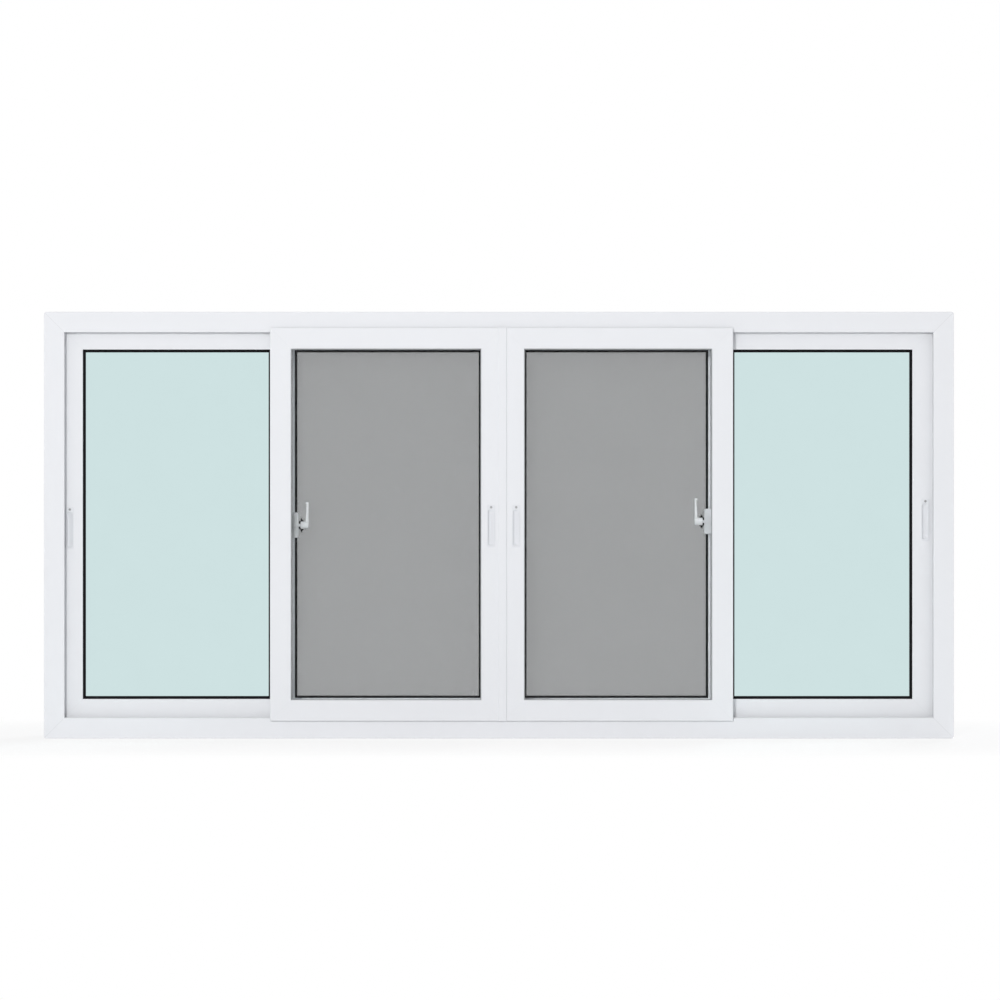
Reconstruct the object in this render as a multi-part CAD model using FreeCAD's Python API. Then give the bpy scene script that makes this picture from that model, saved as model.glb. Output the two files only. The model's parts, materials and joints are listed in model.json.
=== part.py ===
"""A horizontal sliding window: four glass sashes and two insect screens in a three-rail frame.

Millimetres, +Z up, +Y indoors, the outdoor face at -Y. The origin lies on the sill's underside,
at the middle of its length and depth. Every frame and sash member is one hollow profile,
drawn as a section and cut to a mitre at both ends.
In a section u runs inwards from the member's outer edge and v runs indoors.
"""
import FreeCAD, Part
import math
import os

V = FreeCAD.Vector

# Outer frame
WINDOW_WIDTH = 2400.0
WINDOW_HEIGHT = 1125.0
FRAME_DEPTH = 128.0
FLOOR_HEIGHT = 34.0
RAIL_REACH = 54.0
RAIL_THICKNESS = 8.0
PROFILE_WALL = 2.5
FRAME_CORNER_RADIUS = 7.0
EDGE_ROUND = 1.6

# Tracks, each named by the middle plane of its rail, measured from the frame's outdoor face
OUTDOOR_TRACK = RAIL_THICKNESS / 2
TRACK_PITCH = 41.0
SCREEN_TRACK = 118.0

# Running strips let into the sill's rails
STRIP_WIDTH = 3.0
STRIP_SINK = 6.0
STRIP_STANDS = 1.0
STRIP_END_GAP = 1.0

# Glass sashes
SASH_DEPTH = 36.0
SASH_FACE = 55.0
SASH_LIFT = 47.0
HEAD_SEAT = 43.0
LEFT_MIDDLE_WIDTH = 611.0
RIGHT_MIDDLE_WIDTH = 605.0
MEETING_LINE = 10.0
MEETING_GAP = 3.0
LEFT_JAMB_SEAT = 43.5
RIGHT_JAMB_SEAT = 50.5
GROOVE_WIDTH = 14.0
GROOVE_DEPTH = 20.0
REBATE_FLOOR = 41.0
REBATE_LIP = 3.5

# Glazing
GLASS_THICKNESS = 5.0
GLASS_EDGE = 45.0
OUTER_SEAL = 3.0
INNER_SEAL = 2.5
SEAL_START = 46.0
SEAL_LIP = 1.0
SEAL_SHOWS = 7.5
MIDDLE_SEAL_SHOWS = 2.0
BEAD_HEIGHT = 14.0
BEAD_WALL = 2.0
BEAD_BEVEL = 5.0
INNER_SEAL_SHOWS = 2.0
MITRE_GAP = 0.3

# Astragal over the meeting line
ASTRAGAL_LEFT = 11.0
ASTRAGAL_RIGHT = 10.0
ASTRAGAL_THICKNESS = 3.0
ASTRAGAL_ROUND = 1.4
ASTRAGAL_TONGUE = 12.0
ASTRAGAL_TONGUE_STOP = 1.0
ASTRAGAL_RUNNING_GAP = 0.5

# Interlock strips between overlapping stiles
HOOK_WALL = 1.2
HOOK_REACH = 1.8
HOOK_WIDTH = 14.0
HOOK_PLAY = 1.0
HOOK_INSET = 3.0
HOOK_END_MARGIN = 30.0

# Flush pulls
PULL_LENGTH = 112.0
PULL_WIDTH = 22.0
PULL_ROUND = 5.0
PULL_PLATE = 1.5
PULL_RECESS_LENGTH = 94.0
PULL_RECESS_WIDTH = 16.0
PULL_RECESS_DROP = 4.0
PULL_RECESS_ROUND = 2.5
PULL_RECESS_DEPTH = 7.0
PULL_WALL = 1.0
PULL_FIT = 0.2
LEFT_OUTER_PULL_HEIGHT = 554.0
MIDDLE_PULL_HEIGHT = 560.0
RIGHT_OUTER_PULL_HEIGHT = 576.0
OUTER_PULL_INSET = 21.0
LEFT_MIDDLE_PULL_INSET = 29.0
RIGHT_MIDDLE_PULL_INSET = 34.0
INDOOR_PULL_INSET = 27.5

# Crescent locks on the side faces of the outer sashes' meeting stiles; a reach is a distance
# from that face towards the window's middle
LEFT_LOCK_HEIGHT = 562.0
RIGHT_LOCK_HEIGHT = 572.0
HOUSING_LENGTH = 67.0
HOUSING_DEPTH = 24.0
HOUSING_REACH = 18.0
HOUSING_ROUND = 6.0
HOUSING_CHAMFER = 1.5
HOUSING_WALL = 2.0
SPINDLE_RADIUS = 4.0
SPINDLE_CLEARANCE = 0.05
TURNING_GAP = 0.8
CRESCENT_WIDTH = 10.2
CRESCENT_RIM = 2.5
CRESCENT_WEB = 2.5
CRESCENT_CUT = 4.0
CRESCENT_WEB_ANGLE = 45.0
HUB_RADIUS = 10.0
HUB_GAP = 2.0
HUB_FIT = 0.1
LEVER_REACH = 43.0
LEVER_LENGTH = 61.0
LEVER_WIDTH = 9.0
LEVER_ROOT = 8.0
LEVER_TIP = 4.5
LEVER_ROUND = 1.5
GRIP_HEIGHT = 5.0
GRIP_REACH = 3.0

# Keepers on the middle sashes' lock stiles: a plate and a tongue that the crescent passes behind
KEEPER_THICKNESS = 2.0
KEEPER_LENGTH = 36.0
KEEPER_ON_STILE = 24.0
KEEPER_HUB_CLEARANCE = 1.5
TONGUE_HEIGHT = 7.0
TONGUE_DEPTH = 5.0
TONGUE_START = 1.0
TONGUE_WEB_CLEARANCE = 2.5
TONGUE_RIM_CLEARANCE = 0.6

# Rollers and glides
WHEEL_RADIUS = 8.0
WHEEL_WIDTH = 7.0
WHEEL_SEAT_GAP = 0.3
WHEEL_SIDE_GAP = 0.5
CARRIAGE_LENGTH = 60.0
CARRIAGE_WIDTH = 12.0
CARRIAGE_HEIGHT = 10.0
CARRIAGE_INSET = 95.0
WHEEL_POCKET = 1.0

# Insect screens
SCREEN_DEPTH = 18.0
SCREEN_STILE_FACE = 56.0
SCREEN_RAIL_FACE = 51.5
SCREEN_GROOVE_WIDTH = 12.0
SCREEN_LEDGE = 6.5
SPLINE_THICKNESS = 2.5
MESH_THICKNESS = 0.8
MESH_SETBACK = 4.0
MESH_MARGIN = 0.5
GLIDE_LENGTH = 40.0
GLIDE_WIDTH = 10.0

# Positions that follow from the sizes above
FRAME_FRONT = -FRAME_DEPTH / 2
OUTDOOR_PLANE = FRAME_FRONT + OUTDOOR_TRACK
SECOND_PLANE = OUTDOOR_PLANE + TRACK_PITCH
SCREEN_PLANE = FRAME_FRONT + SCREEN_TRACK
HALF_WIDTH = WINDOW_WIDTH / 2
HALF_SASH = SASH_DEPTH / 2
SASH_TOP = WINDOW_HEIGHT - HEAD_SEAT
STRIP_TOP = RAIL_REACH + STRIP_STANDS
GROOVE_ROOF = SASH_LIFT + GROOVE_DEPTH
AXLE_HEIGHT = STRIP_TOP + WHEEL_SEAT_GAP + WHEEL_RADIUS
GLASS_FRONT = -HALF_SASH + REBATE_LIP + OUTER_SEAL
GLASS_BACK = GLASS_FRONT + GLASS_THICKNESS
BEAD_FRONT = GLASS_BACK + INNER_SEAL
KEEPER_FACE = OUTDOOR_PLANE + HALF_SASH + KEEPER_THICKNESS
LOCK_PLANE = KEEPER_FACE + KEEPER_HUB_CLEARANCE + HUB_RADIUS
TONGUE_CORNER = math.hypot(HUB_RADIUS + KEEPER_HUB_CLEARANCE + TONGUE_DEPTH, TONGUE_HEIGHT / 2)
CRESCENT_INNER_RADIUS = TONGUE_CORNER + TONGUE_RIM_CLEARANCE
CRESCENT_OUTER_RADIUS = CRESCENT_INNER_RADIUS + CRESCENT_RIM
CRESCENT_START = HOUSING_REACH + TURNING_GAP
CRESCENT_END = CRESCENT_START + CRESCENT_WIDTH

LEFT_MIDDLE = (
    MEETING_LINE - MEETING_GAP / 2 - LEFT_MIDDLE_WIDTH,
    SASH_LIFT,
    MEETING_LINE - MEETING_GAP / 2,
    SASH_TOP,
)
RIGHT_MIDDLE = (
    MEETING_LINE + MEETING_GAP / 2,
    SASH_LIFT,
    MEETING_LINE + MEETING_GAP / 2 + RIGHT_MIDDLE_WIDTH,
    SASH_TOP,
)
LEFT_OUTER = (-HALF_WIDTH + LEFT_JAMB_SEAT, SASH_LIFT, LEFT_MIDDLE[0] + SASH_FACE, SASH_TOP)
RIGHT_OUTER = (RIGHT_MIDDLE[2] - SASH_FACE, SASH_LIFT, HALF_WIDTH - RIGHT_JAMB_SEAT, SASH_TOP)
FRAME_RECT = (-HALF_WIDTH, 0.0, HALF_WIDTH, WINDOW_HEIGHT)


def rounded_wire(corners, place):
    """Close a wire through (a, b, radius) corners; a corner with a radius becomes a tangent arc."""
    count = len(corners)
    starts = []
    ends = []
    arcs = []
    for i in range(count):
        a, b, radius = corners[i]
        here = V(a, b, 0)
        before = V(corners[i - 1][0], corners[i - 1][1], 0)
        after = V(corners[(i + 1) % count][0], corners[(i + 1) % count][1], 0)
        if radius <= 0:
            starts.append(here)
            ends.append(here)
            arcs.append(None)
            continue
        back = (before - here).normalize()
        forth = (after - here).normalize()
        half = back.getAngle(forth) / 2
        setback = radius / math.tan(half)
        centre = here + (back + forth).normalize() * (radius / math.sin(half))
        middle = centre + (here - centre).normalize() * radius
        starts.append(here + back * setback)
        ends.append(here + forth * setback)
        arcs.append(middle)
    edges = []
    for i in range(count):
        if arcs[i] is not None:
            arc = Part.Arc(place(starts[i]), place(arcs[i]), place(ends[i]))
            edges.append(arc.toShape())
        line_start = place(ends[i])
        line_end = place(starts[(i + 1) % count])
        if line_start.distanceToPoint(line_end) > 1e-6:
            edges.append(Part.makeLine(line_start, line_end))
    return Part.Wire(edges)


def section(outer, chambers, place):
    """A flat face bounded by the outer corners, with each chamber cut out of it."""
    face = Part.Face(rounded_wire(outer, place))
    for chamber in chambers:
        u0, v0, u1, v1 = chamber
        hole = [(u0, v0, 0), (u1, v0, 0), (u1, v1, 0), (u0, v1, 0)]
        face = face.cut(Part.Face(rounded_wire(hole, place)))
    return face


def box(x0, y0, z0, x1, y1, z1):
    """A box between two corners given in any order."""
    low = V(min(x0, x1), min(y0, y1), min(z0, z1))
    return Part.makeBox(abs(x1 - x0), abs(y1 - y0), abs(z1 - z0), low)


def cylinder_x(x0, x1, y, z, radius):
    """A cylinder whose axis runs along X from x0 to x1."""
    return Part.makeCylinder(radius, abs(x1 - x0), V(min(x0, x1), y, z), V(1, 0, 0))


def one_solid(shape):
    """The single solid that a boolean leaves inside a compound."""
    solids = shape.Solids
    if len(solids) != 1:
        raise ValueError("expected one solid, got %d" % len(solids))
    return solids[0]


def mitred_member(side, rect, plane, outline, reach, trim=0.0):
    """One member of a rectangular frame: the section run along a side and mitred at both ends.

    outline is (corners, chambers); reach is the mitre's run along X and along Z, which differ
    where stiles are wider than rails; trim pulls the mitre faces back.
    """
    x0, z0, x1, z1 = rect
    across, up = reach
    corners, chambers = outline
    if side in ("bottom", "top"):
        edge, inward = (z0, 1) if side == "bottom" else (z1, -1)
        place = lambda p: V(x0, plane + p.y, edge + inward * p.x)
        run = V(x1 - x0, 0, 0)
        inner = edge + inward * up
        mitre = [(x0, edge), (x1, edge), (x1 - across, inner), (x0 + across, inner)]
        inset = V(trim, 0, 0)
    else:
        edge, inward = (x0, 1) if side == "left" else (x1, -1)
        place = lambda p: V(edge + inward * p.x, plane + p.y, z0)
        run = V(0, 0, z1 - z0)
        inner = edge + inward * across
        mitre = [(edge, z0), (edge, z1), (inner, z1 - up), (inner, z0 + up)]
        inset = V(0, 0, trim)
    body = section(corners, chambers, place).extrude(run)
    front = plane - FRAME_DEPTH
    points = [
        V(mitre[0][0], front, mitre[0][1]) + inset,
        V(mitre[1][0], front, mitre[1][1]) - inset,
        V(mitre[2][0], front, mitre[2][1]) - inset,
        V(mitre[3][0], front, mitre[3][1]) + inset,
    ]
    wedge = Part.Face(Part.makePolygon(points + [points[0]])).extrude(V(0, 2 * FRAME_DEPTH, 0))
    return one_solid(body.common(wedge))


def square(reach):
    """The run of a 45 degree mitre that bounds a section of this reach."""
    return reach, reach


def rounded_plate(rect, plane, radius):
    """A deep plate over a rectangle with rounded corners, used to round mitred corners."""
    x0, z0, x1, z1 = rect
    corners = [(x0, z0, radius), (x1, z0, radius), (x1, z1, radius), (x0, z1, radius)]
    place = lambda p: V(p.x, plane - FRAME_DEPTH, p.y)
    return Part.Face(rounded_wire(corners, place)).extrude(V(0, 2 * FRAME_DEPTH, 0))


def write(name, solids):
    """Write one sub-part, made of one or more solids, to its own file."""
    shape = solids[0] if len(solids) == 1 else Part.makeCompound(solids)
    shape.exportStep("parts/" + name + ".step")


def frame_outline():
    """Section of the outer frame: a chambered base that carries three hollow upstand rails."""
    half_rail = RAIL_THICKNESS / 2
    second = OUTDOOR_TRACK + TRACK_PITCH
    corners = [
        (0, 0, EDGE_ROUND),
        (RAIL_REACH, 0, EDGE_ROUND),
        (RAIL_REACH, RAIL_THICKNESS, EDGE_ROUND),
        (FLOOR_HEIGHT, RAIL_THICKNESS, 0),
    ]
    for centre in (second, SCREEN_TRACK):
        corners += [
            (FLOOR_HEIGHT, centre - half_rail, 0),
            (RAIL_REACH, centre - half_rail, 0),
            (RAIL_REACH, centre + half_rail, 0),
            (FLOOR_HEIGHT, centre + half_rail, 0),
        ]
    corners += [(FLOOR_HEIGHT, FRAME_DEPTH, 0), (0, FRAME_DEPTH, 0)]
    wall = PROFILE_WALL
    webs = [wall, second - wall / 2, (second + SCREEN_TRACK) / 2, FRAME_DEPTH - wall / 2]
    chambers = []
    for i in range(len(webs) - 1):
        start = webs[i] if i == 0 else webs[i] + wall / 2
        chambers.append((wall, start, FLOOR_HEIGHT - wall, webs[i + 1] - wall / 2))
    return corners, chambers


def make_frame():
    """Head, sill and jambs; the sill's rails are grooved for the running strips."""
    outline = frame_outline()
    plate = rounded_plate(FRAME_RECT, 0, FRAME_CORNER_RADIUS)
    members = {}
    for side in ("bottom", "top", "left", "right"):
        member = mitred_member(side, FRAME_RECT, FRAME_FRONT, outline, square(RAIL_REACH + 1))
        members[side] = one_solid(member.common(plate))
    strips = []
    strip_end = HALF_WIDTH - RAIL_REACH - STRIP_END_GAP
    for plane in (OUTDOOR_PLANE, SECOND_PLANE, SCREEN_PLANE):
        half = STRIP_WIDTH / 2
        strip = box(-strip_end, plane - half, RAIL_REACH - STRIP_SINK, strip_end, plane + half, STRIP_TOP)
        members["bottom"] = one_solid(members["bottom"].cut(strip))
        strips.append(strip)
    write("frame_sill", [members["bottom"]])
    write("frame_head", [members["top"]])
    write("frame_left_jamb", [members["left"]])
    write("frame_right_jamb", [members["right"]])
    write("sill_running_strips", strips)


def sash_outline(grooved):
    """Section of a glass sash member; a grooved one straddles a rail of the frame."""
    half = HALF_SASH
    wall = PROFILE_WALL
    half_groove = GROOVE_WIDTH / 2
    corners = [
        (0, -half, EDGE_ROUND),
        (SASH_FACE, -half, EDGE_ROUND),
        (SASH_FACE, -half + REBATE_LIP, 0),
        (REBATE_FLOOR, -half + REBATE_LIP, 0),
        (REBATE_FLOOR, half, 0),
        (0, half, 0),
    ]
    main_start = wall
    chambers = []
    if grooved:
        corners += [
            (0, half_groove, 0),
            (GROOVE_DEPTH, half_groove, 0),
            (GROOVE_DEPTH, -half_groove, 0),
            (0, -half_groove, 0),
        ]
        main_start = GROOVE_DEPTH + wall
        leg_end = GROOVE_DEPTH - wall
        chambers.append((wall, -half + wall, leg_end, -half_groove - wall))
        chambers.append((wall, half_groove + wall, leg_end, half - wall))
    chambers.append((main_start, -half + wall, REBATE_FLOOR - wall, half - wall))
    return corners, chambers


def track_slots(rect, plane, width):
    """The run of the sill's and the head's rails through a sash, cut out of its closed stiles."""
    x0, z0, x1, z1 = rect
    low = box(x0 - 1, plane - width / 2, z0 - 1, x1 + 1, plane + width / 2, z0 + GROOVE_DEPTH)
    high = box(x0 - 1, plane - width / 2, z1 + 1, x1 + 1, plane + width / 2, z1 - GROOVE_DEPTH)
    return low.fuse(high)


def wheel_pockets(rect, plane):
    """Clearance over each roller wheel in the roof of a bottom rail's groove."""
    half = WHEEL_RADIUS + WHEEL_POCKET
    top = AXLE_HEIGHT + half
    half_width = WHEEL_WIDTH / 2 + WHEEL_POCKET
    pockets = []
    for x in (rect[0] + CARRIAGE_INSET, rect[2] - CARRIAGE_INSET):
        pockets.append(box(x - half, plane - half_width, GROOVE_ROOF - 1, x + half, plane + half_width, top))
    return pockets


def pull_outline(x, z, width, length, radius, y):
    """A face in the XZ plane for one layer of a flush pull."""
    half_w = width / 2
    half_l = length / 2
    corners = [
        (x - half_w, z - half_l, radius),
        (x + half_w, z - half_l, radius),
        (x + half_w, z + half_l, radius),
        (x - half_w, z + half_l, radius),
    ]
    return Part.Face(rounded_wire(corners, lambda p: V(p.x, y, p.y)))


def flush_pull(x, z, face_y, out):
    """A dished pull: a thin plate on the stile's face with a cup let in behind its lower part.

    out is -1 on the outdoor face and 1 on the indoor face.
    """
    front = face_y + out * PULL_PLATE
    plate = pull_outline(x, z, PULL_WIDTH, PULL_LENGTH, PULL_ROUND, face_y)
    middle = z - PULL_RECESS_DROP
    recess = pull_outline(x, middle, PULL_RECESS_WIDTH, PULL_RECESS_LENGTH, PULL_RECESS_ROUND, front)
    half_width = PULL_RECESS_WIDTH / 2 + PULL_WALL
    half_length = PULL_RECESS_LENGTH / 2 + PULL_WALL
    cup_floor = face_y - out * (PULL_RECESS_DEPTH + PULL_WALL)
    cup = box(x - half_width, face_y, middle - half_length, x + half_width, cup_floor, middle + half_length)
    body = plate.extrude(V(0, out * PULL_PLATE, 0)).fuse(cup)
    body = body.cut(recess.extrude(V(0, -out * (PULL_PLATE + PULL_RECESS_DEPTH), 0)))
    return one_solid(body.removeSplitter())


def pull_pocket(x, z, face_y, out):
    """The hole in the stile that the pull's cup fits, with a named fit all round."""
    half_width = PULL_RECESS_WIDTH / 2 + PULL_WALL + PULL_FIT
    half_length = PULL_RECESS_LENGTH / 2 + PULL_WALL + PULL_FIT
    floor = face_y - out * (PULL_RECESS_DEPTH + PULL_WALL + PULL_FIT)
    middle = z - PULL_RECESS_DROP
    return box(x - half_width, face_y + out, middle - half_length, x + half_width, floor, middle + half_length)


def make_sash(name, rect, plane, grooved_side, pull_side, pull_inset, pull_height, stile_names):
    """A glass sash: two grooved rails, two stiles, its glass and a flush pull on each face."""
    members = {}
    slots = track_slots(rect, plane, GROOVE_WIDTH)
    for side in ("bottom", "top", "left", "right"):
        grooved = side in ("bottom", "top", grooved_side)
        member = mitred_member(side, rect, plane, sash_outline(grooved), square(SASH_FACE + 1))
        if not grooved:
            member = one_solid(member.cut(slots))
        members[side] = member
    for pocket in wheel_pockets(rect, plane):
        members["bottom"] = one_solid(members["bottom"].cut(pocket))
    pulls = []
    for out, inset in ((-1, pull_inset), (1, INDOOR_PULL_INSET)):
        face_y = plane + out * HALF_SASH
        x = rect[0] + inset if pull_side == "left" else rect[2] - inset
        pocket = pull_pocket(x, pull_height, face_y, out)
        members[pull_side] = one_solid(members[pull_side].cut(pocket))
        pulls.append(flush_pull(x, pull_height, face_y, out))
    write(name + "_sash_top_rail", [members["top"]])
    write(name + "_sash_bottom_rail", [members["bottom"]])
    write(name + "_sash_" + stile_names[0], [members["left"]])
    write(name + "_sash_" + stile_names[1], [members["right"]])
    write(name + "_flush_pull", pulls)
    glass = box(
        rect[0] + GLASS_EDGE,
        plane + GLASS_FRONT,
        rect[1] + GLASS_EDGE,
        rect[2] - GLASS_EDGE,
        plane + GLASS_BACK,
        rect[3] - GLASS_EDGE,
    )
    write(name + "_glass", [glass])


def seal_outline(front, back, shows):
    """Section of a glazing gasket: a flat strip whose showing edge thins to a lip."""
    tip = SASH_FACE + shows
    corners = [
        (SEAL_START, front, 0),
        (SASH_FACE, front, 0),
        (tip, back - SEAL_LIP, 0),
        (tip, back, 0),
        (SEAL_START, back, 0),
    ]
    return corners, []


def ring(rect, plane, outline, reach):
    """Four mitred strips joined at their corners."""
    strips = [mitred_member(side, rect, plane, outline, reach) for side in ("bottom", "top", "left", "right")]
    joined = strips[0].multiFuse(strips[1:])
    return one_solid(joined.removeSplitter())


def make_gaskets(name, rects, plane, shows):
    """Outdoor and indoor gaskets of the sashes on one track."""
    rings = []
    for rect in rects:
        outer = seal_outline(-HALF_SASH + REBATE_LIP, GLASS_FRONT, shows)
        rings.append(ring(rect, plane, outer, square(SASH_FACE + shows + 1)))
        inner = (
            [
                (SEAL_START, GLASS_BACK, 0),
                (SASH_FACE + INNER_SEAL_SHOWS, GLASS_BACK, 0),
                (SASH_FACE, BEAD_FRONT, 0),
                (SEAL_START, BEAD_FRONT, 0),
            ],
            [],
        )
        rings.append(ring(rect, plane, inner, square(SASH_FACE + INNER_SEAL_SHOWS + 1)))
    write(name, rings)


def make_beads(name, rects, plane):
    """Clip-in glazing beads on the indoor side, four hollow mitred strips to a sash."""
    base = REBATE_FLOOR
    top = REBATE_FLOOR + BEAD_HEIGHT
    back = HALF_SASH
    wall = BEAD_WALL
    corners = [
        (base, BEAD_FRONT, 0),
        (top, BEAD_FRONT, 0),
        (top, BEAD_FRONT + BEAD_BEVEL, 0),
        (top - BEAD_BEVEL, back, 0),
        (base, back, 0),
    ]
    chambers = [(base + wall, BEAD_FRONT + wall, top - BEAD_BEVEL - wall, back - wall)]
    beads = []
    for rect in rects:
        for side in ("bottom", "top", "left", "right"):
            beads.append(mitred_member(side, rect, plane, (corners, chambers), square(top + 1), MITRE_GAP))
    write(name, beads)


def make_astragal():
    """The cover strip over the meeting line, with a tongue between the two middle sashes."""
    front = OUTDOOR_PLANE - HALF_SASH
    tip = front - ASTRAGAL_THICKNESS
    left = MEETING_LINE - ASTRAGAL_LEFT
    right = MEETING_LINE + ASTRAGAL_RIGHT
    tongue_left = MEETING_LINE - MEETING_GAP / 2
    tongue_right = tongue_left + MEETING_GAP - ASTRAGAL_RUNNING_GAP
    corners = [
        (left, front, 0),
        (left, tip, ASTRAGAL_ROUND),
        (right, tip, ASTRAGAL_ROUND),
        (right, front - ASTRAGAL_RUNNING_GAP, 0),
        (tongue_right, front - ASTRAGAL_RUNNING_GAP, 0),
        (tongue_right, front + ASTRAGAL_TONGUE, 0),
        (tongue_left, front + ASTRAGAL_TONGUE, 0),
        (tongue_left, front, 0),
    ]
    low = SASH_LIFT + GROOVE_DEPTH + ASTRAGAL_TONGUE_STOP
    high = SASH_TOP - GROOVE_DEPTH - ASTRAGAL_TONGUE_STOP
    strip_face = Part.Face(rounded_wire(corners, lambda p: V(p.x, p.y, SASH_LIFT)))
    strip = strip_face.extrude(V(0, 0, SASH_TOP - SASH_LIFT))
    for z0, z1 in ((SASH_LIFT - 1, low), (high, SASH_TOP + 1)):
        strip = strip.cut(box(left, front, z0, right, front + ASTRAGAL_TONGUE + 1, z1))
    write("centre_astragal", [one_solid(strip)])


def hook_strip(x, y, toward, hook_side):
    """An L strip: a base on a stile's face and a leg that reaches into the gap."""
    base_end = x + hook_side * HOOK_WIDTH
    leg_start = base_end - hook_side * HOOK_WALL
    low = SASH_LIFT + HOOK_END_MARGIN
    high = SASH_TOP - HOOK_END_MARGIN
    base = box(x, y, low, base_end, y + toward * HOOK_WALL, high)
    leg = box(leg_start, y, low, base_end, y + toward * (HOOK_WALL + HOOK_REACH), high)
    return one_solid(base.fuse(leg).removeSplitter())


def make_interlocks():
    """Interlock strips in the gap between each middle sash and the outer sash behind it."""
    near_back = OUTDOOR_PLANE + HALF_SASH
    far_front = SECOND_PLANE - HALF_SASH
    strips = []
    for edge, side in ((LEFT_MIDDLE[0], 1), (RIGHT_MIDDLE[2], -1)):
        near_x = edge + side * HOOK_INSET
        strips.append(hook_strip(near_x, near_back, 1, side))
        far_x = near_x + side * (2 * HOOK_WIDTH + HOOK_PLAY)
        strips.append(hook_strip(far_x, far_front, -1, -side))
    write("stile_interlocks", strips)


def sector(radius, half_angle):
    """A flat sector in the YZ plane, centred on +Y."""
    y = radius * math.cos(math.radians(half_angle))
    z = radius * math.sin(math.radians(half_angle))
    arc = Part.Arc(V(0, y, -z), V(0, radius, 0), V(0, y, z)).toShape()
    sides = [Part.makeLine(V(0, 0, 0), V(0, y, -z)), arc, Part.makeLine(V(0, y, z), V(0, 0, 0))]
    return Part.Face(Part.Wire(sides))


def lens(start, end, half_height):
    """A pointed oval in the XZ plane, between two reaches."""
    middle = (start + end) / 2
    top = V(middle, 0, half_height)
    bottom = V(middle, 0, -half_height)
    near = Part.Arc(bottom, V(start, 0, 0), top).toShape()
    far = Part.Arc(top, V(end, 0, 0), bottom).toShape()
    return Part.Face(Part.Wire([near, far]))


def lock_housing():
    """The housing, with its back on the plane x = 0 and its spindle's bore along the X axis."""
    half = HOUSING_LENGTH / 2
    front = -SPINDLE_RADIUS - HOUSING_WALL
    corners = [
        (0, -half, 0),
        (HOUSING_REACH, -half, HOUSING_ROUND),
        (HOUSING_REACH, half, HOUSING_ROUND),
        (0, half, 0),
    ]
    face = Part.Face(rounded_wire(corners, lambda p: V(p.x, front, p.y)))
    body = face.extrude(V(0, HOUSING_DEPTH, 0))
    rim = [e for e in body.Edges if e.BoundBox.YMax < front + HOUSING_WALL / 2 and e.BoundBox.XMax > 0.01]
    body = body.makeChamfer(HOUSING_CHAMFER, rim)
    bore = cylinder_x(HOUSING_WALL, HOUSING_REACH + 1, 0, 0, SPINDLE_RADIUS)
    return one_solid(body.cut(bore))


def lock_crescent():
    """Spindle, web and crescent rim in one piece; the rim thins to a point at both ends."""
    spindle_radius = SPINDLE_RADIUS - SPINDLE_CLEARANCE
    spindle = cylinder_x(HOUSING_WALL + TURNING_GAP, CRESCENT_END, 0, 0, spindle_radius)
    web = sector(CRESCENT_OUTER_RADIUS, CRESCENT_WEB_ANGLE)
    web.translate(V(CRESCENT_END - CRESCENT_WEB, 0, 0))
    web = web.extrude(V(CRESCENT_WEB, 0, 0))
    outer = cylinder_x(CRESCENT_START, CRESCENT_END, 0, 0, CRESCENT_OUTER_RADIUS)
    inner = cylinder_x(CRESCENT_START - 1, CRESCENT_END + 1, 0, 0, CRESCENT_INNER_RADIUS)
    tip_height = math.sqrt(CRESCENT_OUTER_RADIUS ** 2 - CRESCENT_CUT ** 2)
    outline = lens(CRESCENT_START, CRESCENT_END, tip_height)
    outline.translate(V(0, CRESCENT_CUT, 0))
    rim = outer.cut(inner).common(outline.extrude(V(0, CRESCENT_OUTER_RADIUS, 0)))
    web = web.common(outline.extrude(V(0, CRESCENT_OUTER_RADIUS, 0))).fuse(web.common(inner))
    return one_solid(spindle.multiFuse([web, rim]).removeSplitter())


def lock_lever():
    """A hub that takes the spindle and straddles the web, with an arm that ends in a small grip."""
    hub_start = HOUSING_REACH + HUB_GAP
    hub = cylinder_x(hub_start, LEVER_REACH, 0, 0, HUB_RADIUS)
    bore_end = CRESCENT_END + HUB_FIT
    bore = cylinder_x(hub_start - 1, bore_end, 0, 0, SPINDLE_RADIUS + HUB_FIT)
    half_slot = (HUB_RADIUS + HUB_FIT) * math.sin(math.radians(CRESCENT_WEB_ANGLE)) + HUB_FIT
    slot_start = CRESCENT_END - CRESCENT_WEB - HUB_FIT
    slot = box(slot_start, -HUB_FIT, -half_slot, bore_end, HUB_RADIUS + 1, half_slot)
    grip_foot = LEVER_LENGTH - GRIP_HEIGHT
    corners = [
        (LEVER_REACH - LEVER_ROOT, 0, 0),
        (LEVER_REACH, 0, 0),
        (LEVER_REACH, LEVER_LENGTH, LEVER_ROUND),
        (LEVER_REACH - LEVER_TIP - GRIP_REACH, LEVER_LENGTH, LEVER_ROUND),
        (LEVER_REACH - LEVER_TIP - GRIP_REACH, grip_foot + GRIP_REACH / 2, 0),
        (LEVER_REACH - LEVER_TIP, grip_foot, 0),
    ]
    arm_face = Part.Face(rounded_wire(corners, lambda p: V(p.x, -LEVER_WIDTH / 2, p.y)))
    arm = arm_face.extrude(V(0, LEVER_WIDTH, 0))
    return one_solid(hub.cut(bore).cut(slot).fuse(arm).removeSplitter())


def lock_keeper():
    """The keeper, in the same place as the lock: a plate on the stile and a tongue beyond it."""
    plate_back = KEEPER_FACE - LOCK_PLANE - KEEPER_THICKNESS
    face = KEEPER_FACE - LOCK_PLANE
    half = KEEPER_LENGTH / 2
    half_tongue = TONGUE_HEIGHT / 2
    tongue_end = CRESCENT_END - CRESCENT_WEB - TONGUE_WEB_CLEARANCE
    plate = box(-KEEPER_ON_STILE, plate_back, -half, TONGUE_START, face, half)
    tongue = box(TONGUE_START, face - TONGUE_DEPTH, -half_tongue, tongue_end, face, half_tongue)
    return one_solid(plate.fuse(tongue).removeSplitter())


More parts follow.
